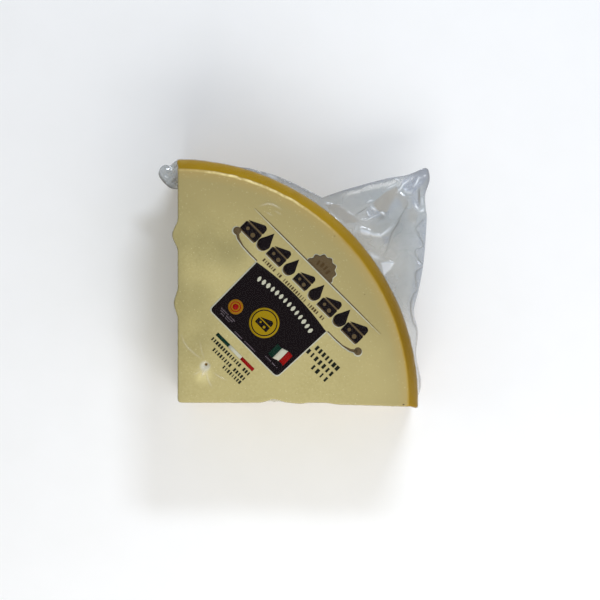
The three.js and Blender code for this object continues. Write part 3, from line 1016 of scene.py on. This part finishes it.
# Ear: the bag's spare film beyond the rind, two layers lying loosely together and sealed along the right
# edge. It leaves the rind at half height, droops to its tip and carries folds that fan out from there.
EAR_HEIGHT = 50
EAR_DROOP = 7
EAR_ROOT = 196.5
EAR_START = (40.5, 195.3)
EAR_WEB = ((56, 194.6), (65, 192.4), (77.3, 189.3), (90.7, 184.0), (107.1, 176.1))
EAR_NOTCH = (120.2, 169.4)
EAR_TIP = ((205.5, 194.2), (208.9, 194.5), (210.8, 191.8))
EAR_TOP_EDGE = ((141.5, 176.5), (174, 185.4), (190.1, 188.2), (199, 191.2))
EAR_SIDE_EDGE = (
    (211.4, 184), (207.8, 172), (208.2, 160), (209, 151), (206.6, 118), (202.6, 93.7), (197.9, 73),
    (201.4, 56), (199.9, 36), (204, 14), (202.2, 2.6),
)
EAR_FOLDS = ((58, 3, 10), (44, -2, 11), (30, 2, 10), (14, -1.5, 9))  # heading, lift, half width
# Painted highlights: bright bluish-white glints along the folds, partly the whitening of creased film.
BRIGHT_FOLDS = (  # points seen from above, half width, how whitened
    (((182, 185.7), (185, 184.3), (185.7, 183.3)), 0.8, 0.8),
    (((174.9, 177.2), (179.6, 179.3), (185.6, 181.9)), 0.6, 0.6),
    (((183.2, 173), (186.8, 177.5), (189.1, 181), (193.3, 184), (194.8, 186.7)), 0.8, 0.9),
    (((188.5, 177.5), (191.5, 174.8), (195.1, 173.9), (198.1, 177.5)), 1.5, 0.55),
    (((196.3, 180.4), (198.1, 179.3), (199.8, 181.6), (202.2, 186.4), (204.6, 186.7)), 1.0, 1.0),
    (((206.1, 187.7), (208.4, 188.9)), 0.8, 0.6),
    (((198.9, 165), (199.8, 162), (202.2, 159.4)), 0.9, 1.0),
    (((161.2, 161.6), (164.2, 159.9), (166.6, 158.3)), 0.9, 0.9),
    (((158.2, 157.3), (159.4, 154.9), (161.2, 153.6)), 0.9, 0.9),
    (((152.3, 150.3), (158.2, 150.7), (164.2, 153.6), (168.9, 155.8)), 0.6, 0.7),
    (((168.6, 157), (171.3, 156.7), (173.2, 154.8)), 1.0, 1.0),
    (((151.3, 143.1), (155, 140), (161.7, 138.7)), 2.4, 1.3),
    (((157.4, 140.5), (163, 137.9), (169.5, 137.2), (175.5, 141.5), (180.6, 146.8)), 1.3, 0.8),
    (((160.3, 122.9), (163.6, 119.7), (169.5, 117.3)), 1.7, 0.9),
    (((169.9, 114.1), (175.5, 114.5), (181, 114.1)), 1.0, 0.6),
    (((146.4, 138.6), (148.1, 141.8), (149.6, 146.3)), 0.8, 0.5),
    (((204.9, 170.2), (205.5, 162.8)), 0.9, 0.5),
    (((122.6, 164.9), (127.3, 163.4)), 1.0, 0.7),
    (((157.6, 164.9), (160.6, 166.7), (163.6, 167.1)), 0.9, 0.5),
    (((202.8, 158.3), (205.8, 158.8), (206.5, 160.8)), 1.0, 0.8),
    (((72, 189.6), (77, 187.6), (83, 184.6)), 1.6, 0.7),
    (((66, 191), (70, 190.2)), 1.0, 0.4),
)
# Painted highlight over a whole creased facet.
HIGHLIGHT_FACETS = (  # creased white all over, outline and strength
    (((169.9, 114.1), (180.8, 114.1), (177.7, 108.6), (172.3, 103.1)), 1.0),
)
# Painted shade: darker lines along folds, each with its points seen from above, half width and strength.
SHADED_FOLDS = (
    (((148.1, 154.3), (153.5, 157.9), (159.4, 162)), 0.6, 0.6),
    (((202.5, 178.5), (202.5, 170.3), (202.5, 162.2)), 1.0, 0.8),
    (((193.9, 165.6), (186.8, 153.7), (184.4, 147.8), (179, 139.4), (174.3, 124), (170.7, 118.1)),
     0.6, 0.6),
    (((166, 136.4), (171.3, 138.1), (176.1, 142.3), (179.3, 146.3)), 0.6, 0.5),
    (((175.5, 157.3), (170.1, 151.9), (166.6, 151.6)), 1.5, 0.4),
)
SEAL_LINE = (
    (205.3, 150.7), (199.8, 144.2), (202.2, 137.1), (205.8, 128.9), (199.2, 124.6), (201.6, 116.9),
    (205.8, 111.8), (199.7, 106.8), (199, 100.3), (200.2, 91.8), (197.2, 87.4), (195, 80.1), (195.3, 71.2),
    (197.6, 63.1), (199.8, 58.2), (200, 47.7), (199.5, 38.8), (200.5, 29), (202.3, 17.7), (202.8, 3.9),
)
# Painted reflection: these facets are painted warm beige, the cheese reflected in the film; the ear lies over
# the floor, beyond the rind.
WARM_REFLECTION_FACETS = (  # single film seen against the brown of the cheese, outline and strength
    (((163.6, 165), (173.1, 173.3), (183.2, 178.7), (185.6, 175.1), (179.6, 165.6), (174.9, 157.3),
      (170.1, 157), (165.4, 160.2)), 0.9),
    (((126.2, 164.4), (133.9, 163.8), (142.2, 157.9), (152.3, 149.5), (140.4, 147.2), (131.5, 154.9),
      (123, 162.8)), 0.7),
    (((186.2, 174.5), (190.9, 170.3), (193.9, 164.4), (190.9, 158.5), (187.9, 164.4), (182.6, 171.5)), 0.5),
    (((193.3, 158.5), (197.5, 160.8), (201.6, 154.9), (198.6, 147.8), (193.9, 149)), 0.4),
)
# Painted reflection: facets painted bluish grey, outline and strength.
COOL_REFLECTION_FACETS = (
    (((186.8, 183.4), (202.8, 192.3), (208.7, 194.1), (211.1, 189.4), (205.8, 181), (197.5, 173.3),
      (188.5, 176.3)), 0.85),
    (((195.7, 172.7), (199.8, 175.7), (202.2, 168), (202.5, 159.6), (198.6, 160.2), (195.7, 165.6)), 0.5),
    (((160, 162), (166.6, 159.6), (171.9, 155.5), (164.2, 151.9), (158.2, 151.9), (158.2, 157.3)), 0.4),
    (((185.6, 166.8), (186.8, 163.2), (180.8, 159.6), (176.1, 153.7), (174.3, 156.1), (179.6, 165.6)), 0.3),
    (((171.3, 135.9), (178.4, 137.1), (176.1, 131.1), (172.5, 129.9)), 0.5),
)

EAR_SPACING = 1.0
outer_edge = np.vstack((
    spline((EAR_START, *EAR_WEB, EAR_NOTCH), EAR_SPACING),
    spline((EAR_NOTCH, *EAR_TOP_EDGE, *EAR_TIP, *EAR_SIDE_EDGE), EAR_SPACING),
    np.array(EAR_SIDE_EDGE[-1:], float),
))
start_angle = math.atan2(EAR_START[1], EAR_START[0])
end_angle = math.atan2(EAR_SIDE_EDGE[-1][1], EAR_SIDE_EDGE[-1][0])
root_angles = np.linspace(end_angle, start_angle, int(EAR_ROOT * (start_angle - end_angle) / EAR_SPACING))
root_edge = EAR_ROOT * np.column_stack((np.cos(root_angles), np.sin(root_angles)))
ear_outline = np.vstack((outer_edge, root_edge))[::-1]


def ear_middle(points):
    """Height of the ear's middle surface: droop towards the tip, and folds that fan out from it."""
    tip = np.array(EAR_TIP[1])
    beyond = np.maximum(0, np.hypot(*points.T) - WHEEL_RADIUS)
    rise = -EAR_DROOP * beyond / (np.hypot(*tip) - WHEEL_RADIUS)
    looseness = smoothstep(beyond, 0, 30)
    for heading, lift, half in EAR_FOLDS:
        angle = math.radians(heading)
        foot = WHEEL_RADIUS * np.array((math.cos(angle), math.sin(angle)))
        way = (foot - tip) / np.linalg.norm(foot - tip)
        aside = way[0] * (points[:, 1] - tip[1]) - way[1] * (points[:, 0] - tip[0])
        rise = rise + lift * looseness * bell(aside, half)
    return EAR_HEIGHT + rise



def faceted(points, facets, blur=0.9):
    """How strong the outlined facets are at each point; each fades across its edge."""
    total = 0
    for outline, amount in facets:
        loop = np.array(outline, float)
        edge = along_line(points, closed(loop))[0]
        total = total + amount * smoothstep(np.where(inside(points, [loop]), edge, -edge), -blur, blur)
    return total


def two_layers(points, triangles, rim_count, top, under):
    """Places and faces of an upper and a lower film closed round their rim."""
    places = np.vstack((raised(points, top), raised(points, under)))
    shift = len(points)
    faces = triangles.tolist()
    faces += [tuple(i + shift for i in reversed(triangle)) for triangle in triangles.tolist()]
    for i in range(rim_count):
        beside = (i + 1) % rim_count
        faces.append((beside, i, i + shift, beside + shift))
    return places, faces


near_folds = [(np.array(line, float), 2 * width, 0.5) for line, width, _ in (*BRIGHT_FOLDS, *SHADED_FOLDS)]
seal_points = spline(SEAL_LINE, 1.0)
points, triangles = fill([ear_outline], EAR_SPACING, [(seal_points, 1.2, 0.6), *near_folds])
x, y = points.T
beyond = np.maximum(0, np.hypot(*points.T) - WHEEL_RADIUS)
rim_distance = along_line(points, outer_edge)[0]
seal_distance = along_line(points, seal_points)[0]
whitened = creased(points, BRIGHT_FOLDS) + faceted(points, HIGHLIGHT_FACETS)
darkened = creased(points, SHADED_FOLDS)
warm = faceted(points, WARM_REFLECTION_FACETS)
cool = faceted(points, COOL_REFLECTION_FACETS)
seal_groove = np.exp(-(seal_distance / 0.7) ** 2)
side_band = smoothstep(x, 188, 199) * (1 - smoothstep(y, 146, 156))
# The pockets between the seal and the edge, and the top edge, are also painted a bluish reflection.
pocket = side_band * (1 - smoothstep(rim_distance, 3, 9)) * (seal_distance > 0.4)

loose = 1 - 0.85 * smoothstep(y, 146, 164)
opening = (0.3 + 3 * np.exp(-beyond / 5)) * smoothstep(rim_distance, 0, 12) * loose + 0.12
calm = smoothstep(rim_distance, 0, 4) * smoothstep(beyond, 0, 12)
flat = raised(points, 0)
upper = 1.1 * whitened - 0.9 * darkened + 0.7 * warm + 0.5 * cool + 0.5 * rumple(flat, 15)
upper = upper + 0.16 * rumple(flat, 5)
pillow = 0.8 * pocket * smoothstep(rim_distance, 0, 2) - 0.6 * seal_groove * smoothstep(rim_distance, 0, 2)
lower = (0.6 * rumple(flat + 500, 17) + 0.2 * rumple(flat + 500, 6)) * calm
upper = upper * calm + pillow
gap = np.maximum(opening, 0.12)
top = ear_middle(points) + gap / 2 + np.maximum(upper, lower - gap + 0.1)
under = ear_middle(points) - gap / 2 + np.minimum(lower, upper + gap - 0.1)
places, faces = two_layers(points, triangles, len(ear_outline), top, under)

# The same laminate hanging loose and rubbed: two hazy layers lie over each other, whitened where a fold has
# creased them and creamier where only one of them lies. Its colours also carry painted light: bluish-white
# painted highlights on the creased folds, painted shade along other folds, painted reflections in warm and
# cool facets, and painted light near the rind, where the slab shades it.
loose_film, tree = new_material("clear_barrier_film_loose_and_rubbed")
share = {
    name: add(tree, "ShaderNodeAttribute", attribute_name=name).outputs["Fac"]
    for name in ("whitened", "darkened", "warm", "cool", "thin")
}
where = add(tree, "ShaderNodeTexCoord").outputs["Object"]
rubbed = add(tree, "ShaderNodeTexNoise", {"Vector": where, "Scale": 1 / (22 * MM), "Detail": 3})
haze_share = add(tree, "ShaderNodeMapRange", {
    "Value": rubbed.outputs["Fac"], "From Min": 0.3, "From Max": 0.7, "To Min": 0.4, "To Max": 0.5,
}).outputs[0]
for name, more in (("thin", -0.22), ("darkened", 0.35), ("whitened", 0.5)):
    haze_share = add(tree, "ShaderNodeMath", {
        0: share[name], 1: more, 2: haze_share,
    }, operation="MULTIPLY_ADD").outputs[0]
colour = linear("#a7afb2")
for name, shade in (
    ("thin", "#f6f5ec"), ("cool", "#99a4b6"), ("warm", "#9c917a"), ("darkened", "#77726a"),
    ("whitened", "#f4f9ff"),
):
    colour = add(tree, "ShaderNodeMix", {
        "Factor": share[name], 6: colour, 7: linear(shade),
    }, data_type="RGBA").outputs[2]
rippled, grazing = rippled_film(tree, 6, 0.4, 0.3)
gloss_share = add(tree, "ShaderNodeMath", {
    0: grazing, 1: 0.92, 2: 0.05,
}, operation="MULTIPLY_ADD").outputs[0]
haze = add(tree, "ShaderNodeBsdfDiffuse", {"Color": colour, "Normal": rippled}).outputs[0]
film_shader(tree, "#fdfdfd", haze, haze_share, gloss_share, 0.13, rippled)

film_ear = make_piece("film_ear", places, faces, loose_film)
# Painted light: the film is painted paler near the rind, where the slab shades the floor under it, and paler
# low down, where it is a single thin layer.
low_part = 1 - smoothstep(y, 35, 88)
arc_painted_light = (1 - smoothstep(beyond, 0, 40)) * (1 - 0.3 * smoothstep(y, 150, 170))
# Painted shade towards the tip, along the top edge and in the seal's groove.
tip_shade = bell(np.hypot(x - 206, y - 187), 17)
top_edge = np.exp(-(rim_distance / 3) ** 2) * smoothstep(y, 165, 176)
seal_shade = (0.58 - 0.28 * smoothstep(y, 70, 100)) * seal_groove * (rim_distance > 0.5)
keep_shares(
    film_ear, whitened=whitened, darkened=darkened + seal_shade + 0.3 * top_edge + 0.25 * tip_shade,
    warm=0.72 * warm, cool=cool + 0.5 * pocket + 0.6 * top_edge,
    thin=low_part + arc_painted_light * (0.3 + 0.35 * bell(y - 128, 34)),
)
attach(film_ear, "root")
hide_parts("vacuum_pack")
# Tab: the bag's gathered corner at the end of the left cut, the same two layers puffed and crumpled.
TAB_HEIGHT = 52
TAB_ROOT = ((3, 200.3), (3, 176.3))
TAB_EDGE = (
    (-3.6, 200.3), (-8.3, 196.4), (-12.5, 197), (-16.6, 194.4), (-17.8, 187.6), (-10, 178.4), (-2.7, 176.3),
)
# Painted shade along the tab's folds.
TAB_FOLDS = (
    (((-2.5, 186.5), (-6, 183), (-8.5, 180.5)), 0.7, 0.7),
    (((-1.5, 197.5), (-5.5, 194)), 0.8, 0.5),
)
# Painted highlights on the tab's crumples.
TAB_SHINES = (
    (((-7.6, 193.8), (-7, 191.4)), 1.1, 1.0),
    (((-13, 188), (-11.4, 186)), 0.9, 1.0),
    (((-4, 179.5), (-1.5, 178.5)), 1.2, 0.5),
)
tab_outline = np.vstack((spline((TAB_ROOT[0], *TAB_EDGE, TAB_ROOT[1]), 0.8), TAB_ROOT[1:]))
points, triangles = fill([tab_outline], 0.8)
rim_distance = along_line(points, tab_outline)[0]
flat = raised(points, 0)
puff = 0.15 + 1.6 * smoothstep(rim_distance, 0, 5)
whitened = creased(points, TAB_SHINES)
darkened = creased(points, TAB_FOLDS)
calm = smoothstep(rim_distance, 0, 2)
x, y = points.T
middle_height = TAB_HEIGHT + 1.2 * np.sin(x / 2.6) * np.cos(y / 3.4) * calm
top = middle_height + puff / 2 + (0.4 * rumple(flat, 4) + 0.6 * whitened - 0.7 * darkened) * calm
under = middle_height - puff / 2 + 0.3 * rumple(flat + 90, 4) * calm
places, faces = two_layers(points, triangles, len(tab_outline), np.maximum(top, under + 0.1), under)
film_tab = make_piece("film_tab", places, faces, loose_film)
# Painted shadow along the tab's lower edge.
lower_edge_shade = np.exp(-(rim_distance / 1.5) ** 2) * (1 - smoothstep(y + 0.8 * x, 172, 180))
# Near its root the tab is painted a warm reflection of the cheese.
keep_shares(
    film_tab, whitened=whitened, darkened=darkened + lower_edge_shade, warm=0.25 * smoothstep(x, -9, -3),
)
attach(film_tab, "root")
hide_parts("vacuum_pack")
